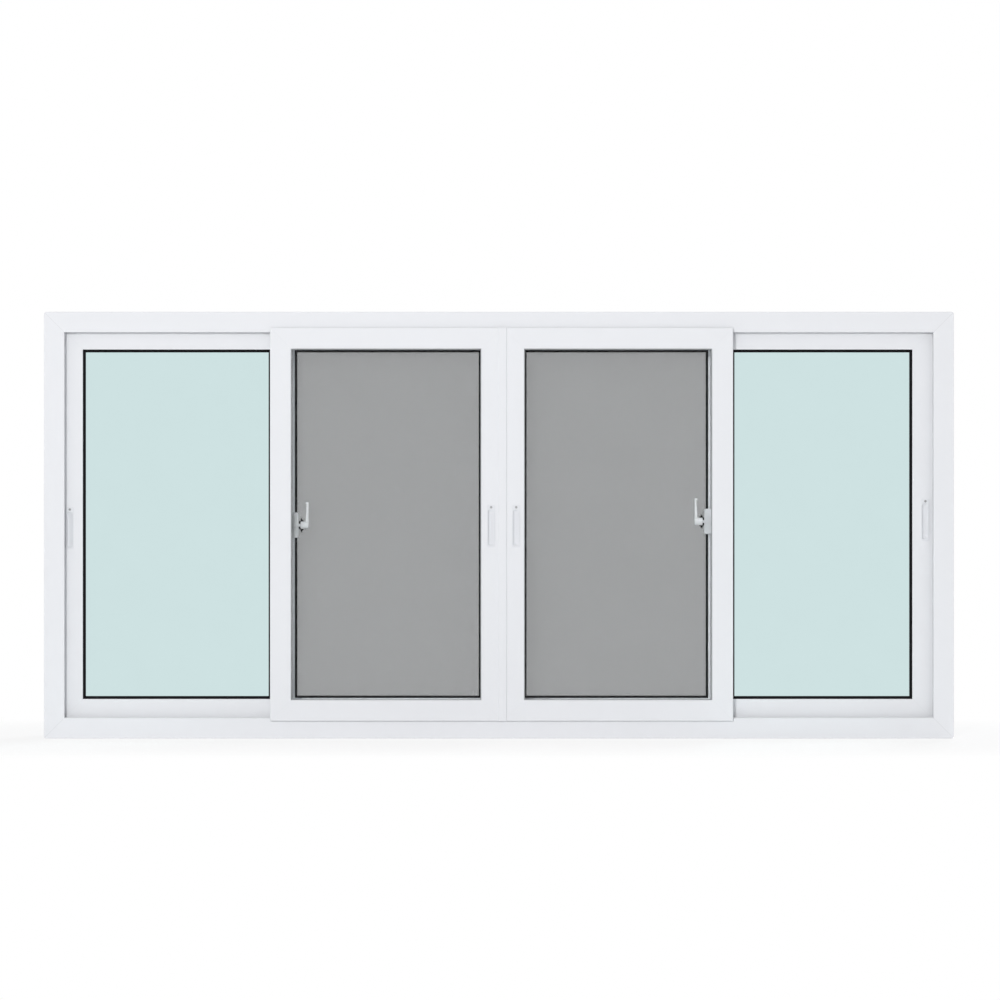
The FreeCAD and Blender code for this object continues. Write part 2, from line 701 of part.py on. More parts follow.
def make_lock(name, stile_x, side, pivot_z):
    """A crescent lock on a meeting stile's side face, and its keeper on the lock stile before it.

    side is the direction from the stile to the window's middle; the other side is a mirror image.
    """
    pieces = {
        "housing": lock_housing(),
        "cam": lock_crescent(),
        "lever": lock_lever(),
        "keeper": lock_keeper(),
    }
    for piece in pieces:
        shape = pieces[piece]
        if side < 0:
            shape = shape.mirror(V(0, 0, 0), V(1, 0, 0))
        shape.translate(V(stile_x, LOCK_PLANE, pivot_z))
        write(name + "_lock_" + piece, [shape])


def roller(x, plane):
    """A roller carriage in a sash's groove, and its wheel on the running strip."""
    half_l = CARRIAGE_LENGTH / 2
    half_w = CARRIAGE_WIDTH / 2
    low = GROOVE_ROOF - CARRIAGE_HEIGHT
    slot_l = WHEEL_RADIUS + WHEEL_POCKET
    slot_w = WHEEL_WIDTH / 2 + WHEEL_SIDE_GAP
    carriage = box(x - half_l, plane - half_w, low, x + half_l, plane + half_w, GROOVE_ROOF)
    slot = box(x - slot_l, plane - slot_w, low - 1, x + slot_l, plane + slot_w, GROOVE_ROOF + 1)
    side = V(x, plane - WHEEL_WIDTH / 2, AXLE_HEIGHT)
    wheel = Part.makeCylinder(WHEEL_RADIUS, WHEEL_WIDTH, side, V(0, 1, 0))
    return [one_solid(carriage.cut(slot)), wheel]


def make_rollers(name, rects, plane):
    """Two rollers under each sash of a track."""
    solids = []
    for rect in rects:
        for x in (rect[0] + CARRIAGE_INSET, rect[2] - CARRIAGE_INSET):
            solids += roller(x, plane)
    write(name, solids)


def screen_outline(face):
    """Section of an insect screen's member, with a ledge for the spline at its inner edge."""
    half = SCREEN_DEPTH / 2
    half_groove = SCREEN_GROOVE_WIDTH / 2
    ledge = -half + MESH_SETBACK
    corners = [
        (0, -half, 0),
        (face, -half, 0),
        (face, ledge, 0),
        (face + SCREEN_LEDGE, ledge, 0),
        (face + SCREEN_LEDGE, half, 0),
        (0, half, 0),
        (0, half_groove, 0),
        (GROOVE_DEPTH, half_groove, 0),
        (GROOVE_DEPTH, -half_groove, 0),
        (0, -half_groove, 0),
    ]
    wall = PROFILE_WALL
    chambers = [(GROOVE_DEPTH + wall, -half + wall, face - wall, half - wall)]
    return corners, chambers


def make_screen(name, rect):
    """An insect screen: two rails, two stiles, mesh, spline and glides, on the indoor track."""
    plane = SCREEN_PLANE
    x0, z0, x1, z1 = rect
    ledge_y = plane - SCREEN_DEPTH / 2 + MESH_SETBACK
    rails = []
    stiles = []
    slots = track_slots(rect, plane, SCREEN_GROOVE_WIDTH)
    reach = (SCREEN_STILE_FACE + SCREEN_LEDGE, SCREEN_RAIL_FACE + SCREEN_LEDGE)
    for side in ("bottom", "top"):
        rails.append(mitred_member(side, rect, plane, screen_outline(SCREEN_RAIL_FACE), reach))
    for side in ("left", "right"):
        stile = mitred_member(side, rect, plane, screen_outline(SCREEN_STILE_FACE), reach)
        stiles.append(one_solid(stile.cut(slots)))
    write(name + "_screen_rails", rails)
    write(name + "_screen_stiles", stiles)
    mesh_front = ledge_y - MESH_THICKNESS
    spline_front = mesh_front - SPLINE_THICKNESS
    x0 = x0 + SCREEN_STILE_FACE + MESH_MARGIN
    x1 = x1 - SCREEN_STILE_FACE - MESH_MARGIN
    z0 = z0 + SCREEN_RAIL_FACE + MESH_MARGIN
    z1 = z1 - SCREEN_RAIL_FACE - MESH_MARGIN
    write(name + "_screen_mesh", [box(x0, mesh_front, z0, x1, ledge_y, z1)])
    spline = box(x0, spline_front, z0, x1, mesh_front, z1)
    inset = SCREEN_LEDGE - MESH_MARGIN
    hole = box(x0 + inset, spline_front - 1, z0 + inset, x1 - inset, ledge_y, z1 - inset)
    return one_solid(spline.cut(hole))


def make_glides(rects):
    """Nylon glides that carry the screens on the indoor running strip."""
    glides = []
    half_l = GLIDE_LENGTH / 2
    low = SCREEN_PLANE - GLIDE_WIDTH / 2
    high = SCREEN_PLANE + GLIDE_WIDTH / 2
    for rect in rects:
        for x in (rect[0] + CARRIAGE_INSET, rect[2] - CARRIAGE_INSET):
            glides.append(box(x - half_l, low, STRIP_TOP, x + half_l, high, GROOVE_ROOF))
    write("screen_glides", glides)


def make_all():
    """Write every sub-part of the window."""
    os.makedirs("parts", exist_ok=True)
    make_frame()
    make_sash(
        "left_outer",
        LEFT_OUTER,
        SECOND_PLANE,
        "left",
        "left",
        OUTER_PULL_INSET,
        LEFT_OUTER_PULL_HEIGHT,
        ("jamb_stile", "meeting_stile"),
    )
    make_sash(
        "right_outer",
        RIGHT_OUTER,
        SECOND_PLANE,
        "right",
        "right",
        OUTER_PULL_INSET,
        RIGHT_OUTER_PULL_HEIGHT,
        ("meeting_stile", "jamb_stile"),
    )
    make_sash(
        "left_middle",
        LEFT_MIDDLE,
        OUTDOOR_PLANE,
        None,
        "right",
        LEFT_MIDDLE_PULL_INSET,
        MIDDLE_PULL_HEIGHT,
        ("lock_stile", "centre_stile"),
    )
    make_sash(
        "right_middle",
        RIGHT_MIDDLE,
        OUTDOOR_PLANE,
        None,
        "left",
        RIGHT_MIDDLE_PULL_INSET,
        MIDDLE_PULL_HEIGHT,
        ("centre_stile", "lock_stile"),
    )
    outer = (LEFT_OUTER, RIGHT_OUTER)
    middle = (LEFT_MIDDLE, RIGHT_MIDDLE)
    make_gaskets("outer_sash_gaskets", outer, SECOND_PLANE, SEAL_SHOWS)
    make_gaskets("middle_sash_gaskets", middle, OUTDOOR_PLANE, MIDDLE_SEAL_SHOWS)
    make_beads("outer_sash_beads", outer, SECOND_PLANE)
    make_beads("middle_sash_beads", middle, OUTDOOR_PLANE)
    make_astragal()
    make_interlocks()
    make_lock("left", LEFT_OUTER[2], 1, LEFT_LOCK_HEIGHT)
    make_lock("right", RIGHT_OUTER[0], -1, RIGHT_LOCK_HEIGHT)
    make_rollers("outer_sash_rollers", outer, SECOND_PLANE)
    make_rollers("middle_sash_rollers", middle, OUTDOOR_PLANE)
    splines = [make_screen("left", LEFT_MIDDLE), make_screen("right", RIGHT_MIDDLE)]
    write("screen_splines", splines)
    make_glides(middle)


make_all()
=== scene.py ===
"""Looks of a white horizontal sliding window: satin profiles, pale green glass, woven insect
screens, black gaskets and crescent locks, on a pale studio floor.

Metres, +Z up, +Y indoors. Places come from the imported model's own boxes.
"""
import json
import math

import bpy
import numpy as np
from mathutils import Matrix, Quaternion, Vector

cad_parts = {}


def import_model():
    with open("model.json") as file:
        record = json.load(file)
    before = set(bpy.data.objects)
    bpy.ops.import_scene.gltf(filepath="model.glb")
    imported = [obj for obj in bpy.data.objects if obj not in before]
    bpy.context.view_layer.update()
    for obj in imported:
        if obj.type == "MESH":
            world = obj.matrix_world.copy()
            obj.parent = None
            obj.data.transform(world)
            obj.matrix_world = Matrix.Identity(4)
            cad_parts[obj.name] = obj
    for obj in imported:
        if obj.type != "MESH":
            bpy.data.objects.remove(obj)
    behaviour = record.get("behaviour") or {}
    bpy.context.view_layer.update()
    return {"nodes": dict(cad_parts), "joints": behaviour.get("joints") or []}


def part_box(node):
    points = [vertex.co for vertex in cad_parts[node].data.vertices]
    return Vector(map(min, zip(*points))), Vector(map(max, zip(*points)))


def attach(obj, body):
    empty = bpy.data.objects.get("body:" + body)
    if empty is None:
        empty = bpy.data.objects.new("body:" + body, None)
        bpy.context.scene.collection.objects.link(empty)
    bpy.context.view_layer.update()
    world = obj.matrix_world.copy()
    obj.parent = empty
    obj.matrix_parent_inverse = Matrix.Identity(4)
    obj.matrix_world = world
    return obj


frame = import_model()

MM = 0.001

# A surface's points are one where they agree to this many decimals of a metre
POINT_DIGITS = 7

# The window's two faces, by their direction along y
OUTDOORS = -1
INDOORS = 1

SASHES = ("left_outer", "right_outer", "left_middle", "right_middle")

# Each lock with the direction along x from its stile to the window's middle
LOCKS = (("left", 1), ("right", -1))

# Camera: level, facing the outdoor side, far away for the photograph's small parallax
CAMERA_X = 0.0029
CAMERA_Z = 0.6287
CAMERA_DISTANCE = 7.2
VIEW_WIDTH = 2.637
SENSOR = 36.0

# Light: an even world, a soft lamp at the upper left behind the camera, and a large one behind
# the window for the indoor side
WORLD_LEVEL = 0.52
WORLD_COLOUR = (0.97, 0.98, 1.0)
KEY_PLACE = (-1.9, -9.0, 2.15)
KEY_SIZE = 0.9
KEY_POWER = 332.0
BACK_PLACE = (2.8, 4.6, 3.8)
BACK_SIZE = 3.0
BACK_POWER = 170.0
LAMP_AIM = (0.0, 0.0, 0.5)

# Floor: its glow is FLOOR_GLOW under the window, and grows to plain white by the squared
# distance from it over FLOOR_FADE
FLOOR_HALF = 12.0
FLOOR_TILES = 8
FLOOR_DROP = 0.5 * MM
FLOOR_GLOW = 0.80
FLOOR_FADE = 1.2
WINDOW_HALF_WIDTH = 1.2
WINDOW_HALF_DEPTH = 0.1

# Colours, as they should read in plain light, apart from the left lock's painted shade
UPVC_WHITE = (0.845, 0.852, 0.874)
PULL_WHITE = (0.80, 0.81, 0.835)
OUTER_PANE = (0.613, 0.756, 0.758)
MIDDLE_PANE = (0.758, 0.771, 0.777)
BLACK = (0.005, 0.005, 0.006)
GREY_RUBBER = (0.40, 0.41, 0.42)
MILL_METAL = (0.78, 0.79, 0.80)
NYLON = (0.72, 0.72, 0.69)
# Lock paints by side: the left lock's are darker than the right's as painted shade, because the
# left lock lies in shade; the right lock's are the paint's own colours
LOCK_GREY_LEFT_PAINTED_SHADE = {"left": (0.56, 0.57, 0.575), "right": (0.72, 0.735, 0.75)}
LEVER_WHITE_LEFT_PAINTED_SHADE = {"left": (0.76, 0.77, 0.78), "right": (0.88, 0.89, 0.90)}
BLACK_STEEL = (0.006, 0.006, 0.0065)
THREAD_DARK = (0.07, 0.07, 0.072)
THREAD_LIGHT = (0.12, 0.12, 0.122)
ZINC = (0.50, 0.50, 0.51)
FLOOR_WHITE = (0.96, 0.96, 0.965)
WHITE = (1.0, 1.0, 1.0)

# Thin coated glass reflects little square on
GLASS_IOR = 1.22

# Insect mesh: the threads' pitch, the share of it that a thread covers, and how far the two sets
# of threads pass over each other beside their own height
WEAVE_PITCH = 1.6 * MM
WIRE_SHARE = 0.40
WEAVE_LIFT = 0.3

# Welded corners: half the width of a trimmed weld's groove and its depth beside the surface's
# own waves, how dark it is, and the slope of the screens' mitre, whose stiles are the wider
WELD_HALF_WIDTH = 1.2 * MM
WELD_DEPTH = 2.5
FRAME_WELD = 0.85
SASH_WELD = 0.96
SCREEN_SLOPE = 58.0 / 62.5

# Flush pulls: the recess in each plate, and the scoop moulded in it
RECESS_WIDTH = 16 * MM
RECESS_LENGTH = 94 * MM
RECESS_DROP = 4 * MM
RECESS_DEPTH = 8.5 * MM
SCOOP_PLAY = 0.1 * MM
SCOOP_SHALLOW = 1.6 * MM
SCOOP_FLOOR = 0.8 * MM
SCOOP_ROWS = 41
SCOOP_COLUMNS = 13
SCOOP_END_POWER = 10
SCREW_ABOVE_MIDDLE = 49.5 * MM

# Screws: a domed head with a cross recess. SCREW_REACH gives its rings as shares of the radius,
# closest where the recess has its edges
SCREW_REACH = (0.0, 0.12, 0.24, 0.34, 0.45, 0.55, 0.63, 0.68, 0.74, 0.86, 0.95, 1.0)
SCREW_SIDES = 32
SCREW_TURN = 0.4
SCREW_RADIUS = 3.3 * MM
SCREW_EDGE = 0.15 * MM
SCREW_DOME = 0.9 * MM
SCREW_ROOT = 1.2 * MM
CROSS_LENGTH = 2.1 * MM
CROSS_WIDTH = 0.6 * MM
CROSS_DEPTH = 1.0 * MM
CROSS_BLUR = 0.35 * MM
HOUSING_SCREW_OFFSET = 24 * MM
KEEPER_SCREW_OFFSET = 11 * MM
KEEPER_SCREW_INSET = 10 * MM

# Collar round each lock lever's hub, just off the housing
HUB_RADIUS = 10 * MM
COLLAR_PLAY = 0.4 * MM
COLLAR_LENGTH = 4.0 * MM
COLLAR_WALL = 0.9 * MM
COLLAR_CUT = 0.3 * MM
COLLAR_SIDES = 64


# Shader building


class Value:
    """A shader socket that takes part in plain arithmetic."""

    def __init__(self, finish, socket):
        self.finish = finish
        self.socket = socket

    def maths(self, operation, *inputs):
        settings = {"operation": operation}
        made = self.finish.node("ShaderNodeMath", settings, dict(enumerate(inputs)))
        return Value(self.finish, made.outputs[0])

    def __add__(self, other):
        return self.maths("ADD", self, other)

    __radd__ = __add__

    def __sub__(self, other):
        return self.maths("SUBTRACT", self, other)

    def __rsub__(self, other):
        return self.maths("SUBTRACT", other, self)

    def __mul__(self, other):
        return self.maths("MULTIPLY", self, other)

    __rmul__ = __mul__

    def __truediv__(self, other):
        return self.maths("DIVIDE", self, other)

    def __abs__(self):
        return self.maths("ABSOLUTE", self)

    def less(self, other):
        return self.maths("LESS_THAN", self, other)

    def least(self, other):
        return self.maths("MINIMUM", self, other)

    def most(self, other):
        return self.maths("MAXIMUM", self, other)

    def fraction(self):
        return self.maths("FRACT", self)

    def sine(self):
        return self.maths("SINE", self)

    def towards(self, other, share):
        """This value with a share of another one mixed in."""
        return (1 - share) * self + share * other


class Finish:
    """A node material, or the world, under construction."""

    def __init__(self, owner, output_kind):
        owner.use_nodes = True
        self.owner = owner
        self.tree = owner.node_tree
        self.tree.nodes.clear()
        self.output = self.tree.nodes.new(output_kind)

    def node(self, kind, settings=None, inputs=None):
        """Add a node: its settings first, then the values or links of its sockets."""
        made = self.tree.nodes.new(kind)
        for key, value in (settings or {}).items():
            setattr(made, key, value)
        for key, value in (inputs or {}).items():
            self.feed(made.inputs[key], value)
        return made

    def feed(self, socket, value):
        """Link a socket, or give it a plain number or colour."""
        if isinstance(value, Value):
            value = value.socket
        if isinstance(value, bpy.types.NodeSocket):
            self.tree.links.new(value, socket)
        elif socket.type == "RGBA":
            socket.default_value = (*value, 1.0)
        else:
            socket.default_value = value

    def place(self):
        """Object coordinates as three numbers, in metres."""
        coordinates = self.node("ShaderNodeTexCoord")
        split = self.node("ShaderNodeSeparateXYZ", inputs={0: coordinates.outputs["Object"]})
        return [Value(self, socket) for socket in split.outputs]

    def noise(self, cells, detail=2.0, stretch=(1.0, 1.0, 1.0)):
        """Noise from 0 to 1, in cells to the metre; a stretch below 1 draws it out on an axis."""
        coordinates = self.node("ShaderNodeTexCoord").outputs["Object"]
        mapped = self.node("ShaderNodeMapping", inputs={"Vector": coordinates, "Scale": stretch})
        inputs = {"Vector": mapped.outputs[0], "Scale": cells, "Detail": detail}
        return Value(self, self.node("ShaderNodeTexNoise", inputs=inputs).outputs["Fac"])

    def blend(self, factor, first, second):
        """The colour that lies at factor between two colours."""
        made = self.node("ShaderNodeMix", {"data_type": "RGBA"}, {0: factor, 6: first, 7: second})
        return made.outputs[2]

    def mixed(self, factor, first, second):
        """Mix two shaders and show the result."""
        made = self.node("ShaderNodeMixShader", inputs={0: factor, 1: first, 2: second})
        self.feed(self.output.inputs["Surface"], made.outputs[0])

    def seen(self, *kinds):
        """1 for rays of the named kinds, and 0 for all others."""
        light = self.node("ShaderNodeLightPath")
        values = [Value(self, light.outputs["Is " + kind + " Ray"]) for kind in kinds]
        total = values[0]
        for value in values[1:]:
            total = total.most(value)
        return total


class Coat(Finish):
    """A material with one Principled shader."""

    def __init__(self, name):
        super().__init__(bpy.data.materials.new(name), "ShaderNodeOutputMaterial")
        self.shader = self.node("ShaderNodeBsdfPrincipled")
        self.feed(self.output.inputs["Surface"], self.shader.outputs[0])

    def set(self, **inputs):
        """Set the shader's sockets; an underscore in a name stands for a space."""
        for key, value in inputs.items():
            self.feed(self.shader.inputs[key.replace("_", " ")], value)

    def mottle(self, factor, colour, dark, light):
        """Vary the base colour between a darker and a lighter shade of itself."""
        self.set(Base_Color=self.blend(factor, shade(colour, dark), shade(colour, light)))

    def tint(self, factor, colour):
        """Turn the base colour towards another one."""
        now = self.shader.inputs["Base Color"].links[0].from_socket
        self.set(Base_Color=self.blend(factor, now, colour))

    def roughen(self, factor, smooth, rough):
        """Vary the roughness between two levels."""
        self.set(Roughness=smooth + (rough - smooth) * factor)

    def bump(self, height, depth, strength):
        """Raise the surface by a height map; depth is in metres."""
        inputs = {"Height": height, "Distance": depth, "Strength": strength}
        self.set(Normal=self.node("ShaderNodeBump", inputs=inputs).outputs[0])


def shade(colour, factor):
    """A colour made darker or lighter."""
    return tuple(min(1.0, part * factor) for part in colour)


# Finishes


def upvc(name, colour=UPVC_WHITE, rect=None, weld_shade=1.0, slope=1.0):
    """Satin white plastic with a faint die texture and, at a mitre, the groove of a trimmed weld.

    rect is the outline (x0, z0, x1, z1) of the frame whose corners are welded. A weld lies where
    the distances from the two nearest sides are equal, or as slope to 1 where the widths differ.
    """
    coat = Coat(name)
    waves = coat.noise(cells=22.0)
    grain = coat.noise(cells=900.0, detail=3.0)
    broad = coat.noise(cells=3.0, detail=3.0)
    height = waves.towards(grain, share=0.35)
    tone = broad.towards(waves.towards(grain, share=0.5), share=0.4)
    coat.mottle(tone, colour, dark=0.975, light=1.02)
    if rect:
        x, _, z = coat.place()
        x0, z0, x1, z1 = rect
        across = (x - x0).least(x1 - x)
        up = (z - z0).least(z1 - z)
        weld = (1.0 - abs(across * slope - up) / WELD_HALF_WIDTH).most(0.0)
        height = height - WELD_DEPTH * weld
        coat.tint(weld, shade(colour, weld_shade))
    coat.roughen(waves, smooth=0.28, rough=0.40)
    coat.bump(height, depth=0.12 * MM, strength=0.35)
    return coat.owner


def glass(name, pane):
    """Clear glass whose tint is the whole pane's.

    Lamps shine through its two faces, so each takes the square root of the tint.
    """
    coat = Coat(name)
    coat.mottle(coat.noise(cells=14.0, detail=4.0), pane, dark=0.99, light=1.01)
    coat.set(Roughness=0.0, IOR=GLASS_IOR, Transmission_Weight=1.0)
    face_tint = tuple(math.sqrt(part) for part in pane)
    clear = coat.node("ShaderNodeBsdfTransparent", inputs={"Color": face_tint})
    coat.mixed(coat.seen("Shadow"), coat.shader.outputs[0], clear.outputs[0])
    return coat.owner


def rubber(name, colour):
    """Extruded rubber with a fine grain and a dusty mottling."""
    coat = Coat(name)
    grain = coat.noise(cells=1500.0)
    patch = coat.noise(cells=60.0, detail=3.0)
    coat.mottle(patch, colour, dark=0.75, light=1.3)
    coat.set(Specular_IOR_Level=0.12)
    coat.roughen(patch, smooth=0.60, rough=0.75)
    coat.bump(grain.towards(patch, share=0.3), depth=0.08 * MM, strength=0.5)
    return coat.owner


def metal(name, colour, stretch, smooth, rough):
    """Drawn or plated metal with fine lines along the axis whose stretch is smallest."""
    coat = Coat(name)
    lines = coat.noise(cells=500.0, detail=3.0, stretch=stretch)
    coat.mottle(lines, colour, dark=0.85, light=1.1)
    coat.set(Metallic=0.9)
    coat.roughen(lines, smooth, rough)
    coat.bump(lines, depth=0.04 * MM, strength=0.5)
    return coat.owner


def nylon():
    """Moulded off-white plastic with flow marks."""
    coat = Coat("moulded nylon")
    flow = coat.noise(cells=160.0, detail=4.0, stretch=(0.3, 1.0, 1.0))
    coat.mottle(flow, NYLON, dark=0.9, light=1.05)
    coat.roughen(flow, smooth=0.42, rough=0.58)
    coat.bump(flow, depth=0.1 * MM, strength=0.4)
    return coat.owner


def paint(name, colour, cells):
    """Powder paint: an orange-peel surface and a slight wear in the tone."""
    coat = Coat(name)
    peel = coat.noise(cells)
    wear = coat.noise(cells=120.0, detail=4.0)
    coat.mottle(wear, colour, dark=0.93, light=1.05)
    coat.set(Coat_Weight=0.15 * peel)
    coat.roughen(wear, smooth=0.30, rough=0.46)
    coat.bump(peel, depth=0.1 * MM, strength=0.5)
    return coat.owner


def blackened():
    """Blackened steel with small polished streaks."""
    coat = Coat("blackened steel")
    streak = coat.noise(cells=700.0, detail=3.0, stretch=(0.2, 1.0, 1.0))
    coat.mottle(streak, BLACK_STEEL, dark=0.6, light=1.8)
    coat.set(Metallic=0.1, Specular_IOR_Level=0.08)
    coat.roughen(streak, smooth=0.50, rough=0.70)
    coat.bump(streak, depth=0.05 * MM, strength=0.4)
    return coat.owner


def woven(side):
    """Insect mesh: two sets of threads cut out of the sheet's outdoor face by transparency.

    Each thread covers WIRE_SHARE of the pitch. Its height is a half wave across it, and the two
    sets pass over and under each other by the product of two waves. The indoor face is clear, so
    that the threads don't count twice in a slanted view.
    """
    coat = Coat(side + " woven screen")
    x, y, z = coat.place()
    low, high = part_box(side + "_screen_mesh")
    outdoor_face = y.less(float(low[1] + high[1]) / 2)
    across = (x / WEAVE_PITCH).fraction()
    up = (z / WEAVE_PITCH).fraction()
    upright = across.less(WIRE_SHARE)
    level = up.less(WIRE_SHARE)
    round_thread = math.pi / WIRE_SHARE
    crown = (across * round_thread).sine() * upright
    crown_level = (up * round_thread).sine() * level
    turns = math.pi / WEAVE_PITCH
    over = (x * turns).sine() * (z * turns).sine()
    tone = coat.noise(cells=40.0, detail=3.0)
    coat.set(Base_Color=coat.blend(tone, THREAD_DARK, THREAD_LIGHT))
    coat.set(Alpha=upright.most(level) * outdoor_face)
    coat.roughen(tone, smooth=0.50, rough=0.70)
    coat.bump(crown.most(crown_level) + WEAVE_LIFT * over, depth=0.2 * MM, strength=0.6)
    return coat.owner


def outline_of(nodes):
    """The rectangle (x0, z0, x1, z1) round several nodes."""
    low = np.array([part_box(node)[0] for node in nodes]).min(0)
    high = np.array([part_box(node)[1] for node in nodes]).max(0)
    return float(low[0]), float(low[2]), float(high[0]), float(high[2])


def welded(nodes, name, weld_shade, slope=1.0):
    """One finish for the four members of a welded frame."""
    made = upvc(name, rect=outline_of(nodes), weld_shade=weld_shade, slope=slope)
    return dict.fromkeys(nodes, made)


def dress_solids(moulded, dark):
    """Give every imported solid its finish."""
    nodes = sorted(frame["nodes"])
    plain = upvc("satin upvc")
    done = welded([n for n in nodes if n.startswith("frame_")], "frame upvc", FRAME_WELD)
    for sash in SASHES:
        members = [n for n in nodes if n.startswith(sash + "_sash_")]
        done.update(welded(members, sash + " sash upvc", SASH_WELD))
        done[sash + "_flush_pull"] = moulded
    outer = glass("pale green glass", OUTER_PANE)
    middle = glass("clear glass", MIDDLE_PANE)
    black = rubber("black rubber", BLACK)
    done["outer_sash_gaskets"] = black
    done["screen_splines"] = black
    done["middle_sash_gaskets"] = rubber("grey rubber", GREY_RUBBER)
    for node, name, stretch in (
        ("sill_running_strips", "strip aluminium", (0.02, 1.0, 1.0)),
        ("stile_interlocks", "interlock aluminium", (1.0, 1.0, 0.02)),
    ):
        done[node] = metal(name, MILL_METAL, stretch, smooth=0.24, rough=0.44)
    moulding = nylon()
    for node in ("outer_sash_rollers", "middle_sash_rollers", "screen_glides"):
        done[node] = moulding
    for side, _ in LOCKS:
        members = [side + "_screen_rails", side + "_screen_stiles"]
        done.update(welded(members, side + " screen upvc", SASH_WELD, SCREEN_SLOPE))
        done[side + "_outer_glass"] = outer
        done[side + "_middle_glass"] = middle
        done[side + "_screen_mesh"] = woven(side)
        # The left lock's housing, keeper and lever get darker copies of the paint: painted shade
        side_shaded_housing_paint = paint(side + " grey lock paint", LOCK_GREY_LEFT_PAINTED_SHADE[side], cells=900.0)
        done[side + "_lock_housing"] = side_shaded_housing_paint
        done[side + "_lock_keeper"] = side_shaded_housing_paint
        side_shaded_lever_paint = paint(side + " white lever paint", LEVER_WHITE_LEFT_PAINTED_SHADE[side], cells=1200.0)
        done[side + "_lock_lever"] = side_shaded_lever_paint
        done[side + "_lock_cam"] = dark
    for node in nodes:
        for slot in frame["nodes"][node].material_slots:
            slot.link = "OBJECT"
            slot.material = done.get(node, plain)


# Surfaces


def closed_surface(name, rings, finish, body="root", loop=False):
    """A closed mesh through rings of points, an array (rings, points to a ring, 3).

    In a loop the last ring joins the first. Otherwise a fan from the mean of its points closes
    each of the two. Points that coincide are welded, and the faces are turned outwards by the
    sign of the volume that they enclose.
    """
    if loop:
        rings = np.concatenate([rings, rings[:1]])
    else:
        first = np.broadcast_to(rings[0].mean(0), rings[0].shape)
        last = np.broadcast_to(rings[-1].mean(0), rings[0].shape)
        rings = np.concatenate([first[None], rings, last[None]])
    rows, columns, _ = rings.shape
    row = np.arange(rows - 1)[:, None] * columns
    here = np.arange(columns)[None, :]
    beside = (here + 1) % columns
    quads = np.stack([row + here, row + beside, row + columns + beside, row + columns + here], -1)
    points = rings.reshape(-1, 3).round(POINT_DIGITS)
    points, place = np.unique(points, axis=0, return_inverse=True)
    faces = place.reshape(-1)[quads.reshape(-1, 4)]
    a, b, c, d = (points[faces[:, corner]] for corner in range(4))
    volume = (a * np.cross(b, c)).sum() + (a * np.cross(c, d)).sum()
    if volume < 0:
        faces = faces[:, ::-1]
    outlines = [list(dict.fromkeys(face)) for face in faces.tolist()]
    mesh = bpy.data.meshes.new(name)
    mesh.from_pydata(points.tolist(), [], [face for face in outlines if len(face) > 2])
    mesh.materials.append(finish)
    made = bpy.data.objects.new(name, mesh)
    bpy.context.scene.collection.objects.link(made)
    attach(made, body)
    return made


def screw(name, place, normal, finish):
    """A domed screw head with a cross recess, seated on place and facing along normal.

    Over the head's disc the height is the dome 1 - (r / R)^2, less the recess: the cross's depth
    times a short slope down from the edges of its two bars. Two more rings close it underneath.
    """
    reach = np.array(SCREW_REACH) * SCREW_RADIUS
    angle = np.linspace(0.0, 2 * math.pi, SCREW_SIDES + 1)[:-1]
    r, a = np.meshgrid(reach, angle, indexing="ij")
    u = r * np.cos(a)
    v = r * np.sin(a)
    first_bar = np.maximum(abs(u) - CROSS_LENGTH, abs(v) - CROSS_WIDTH)
    second_bar = np.maximum(abs(v) - CROSS_LENGTH, abs(u) - CROSS_WIDTH)
    recess = CROSS_DEPTH * np.clip(0.5 - np.minimum(first_bar, second_bar) / CROSS_BLUR, 0.0, 1.0)
    dome = SCREW_EDGE + SCREW_DOME * (1 - (r / SCREW_RADIUS) ** 2)
    height = np.maximum(dome - recess, SCREW_EDGE / 2)
    u = np.concatenate([u, u[-1:], u[:1]])
    v = np.concatenate([v, v[-1:], v[:1]])
    height = np.concatenate([height, np.full((2, angle.size), -SCREW_ROOT)])
    normal = Vector(normal)
    side = normal.orthogonal().normalized()
    side.rotate(Quaternion(normal, SCREW_TURN))
    rings = np.array(place)
    for part, axis in ((u, side), (v, normal.cross(side)), (height, normal)):
        rings = rings + part[..., None] * np.array(axis)
    return closed_surface(name, rings, finish)


def half_box(node, side):
    """Corners of the part of a node on the outdoor or indoor side of its middle plane."""
    low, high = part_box(node)
    mesh = frame["nodes"][node].data
    points = np.empty(len(mesh.vertices) * 3)
    mesh.vertices.foreach_get("co", points)
    points = points.reshape(-1, 3)
    kept = points[(points[:, 1] - (low[1] + high[1]) / 2) * side > 0]
    return kept.min(0), kept.max(0)


def scoop(name, middle, face_y, side, finish):
    """The dished floor of a flush pull: its curved top and its flat base, ring by ring.

    Across the recess the depth falls from SCOOP_SHALLOW at the right to the cup's floor at the
    left by a quarter wave; towards both ends it rises by a high power of the way along.
    """
    lengthways = np.linspace(-1.0, 1.0, SCOOP_ROWS)
    across = np.linspace(0.0, 1.0, SCOOP_COLUMNS)
    v, u = np.meshgrid(lengthways, across, indexing="ij")
    bottom = RECESS_DEPTH - SCOOP_PLAY
    fall = (1 - abs(v) ** SCOOP_END_POWER) * np.cos(u * math.pi / 2)
    depth = SCOOP_SHALLOW + (bottom - SCOOP_FLOOR - SCOOP_SHALLOW) * fall
    x = middle[0] + (u - 0.5) * (RECESS_WIDTH - 2 * SCOOP_PLAY)
    z = middle[2] + v * (RECESS_LENGTH / 2 - SCOOP_PLAY)
    top = np.stack([x, face_y - side * depth, z], -1)
    base = np.stack([x, np.full_like(x, face_y - side * bottom), z], -1)[:, ::-1]
    return closed_surface(name, np.concatenate([top, base], 1), finish)


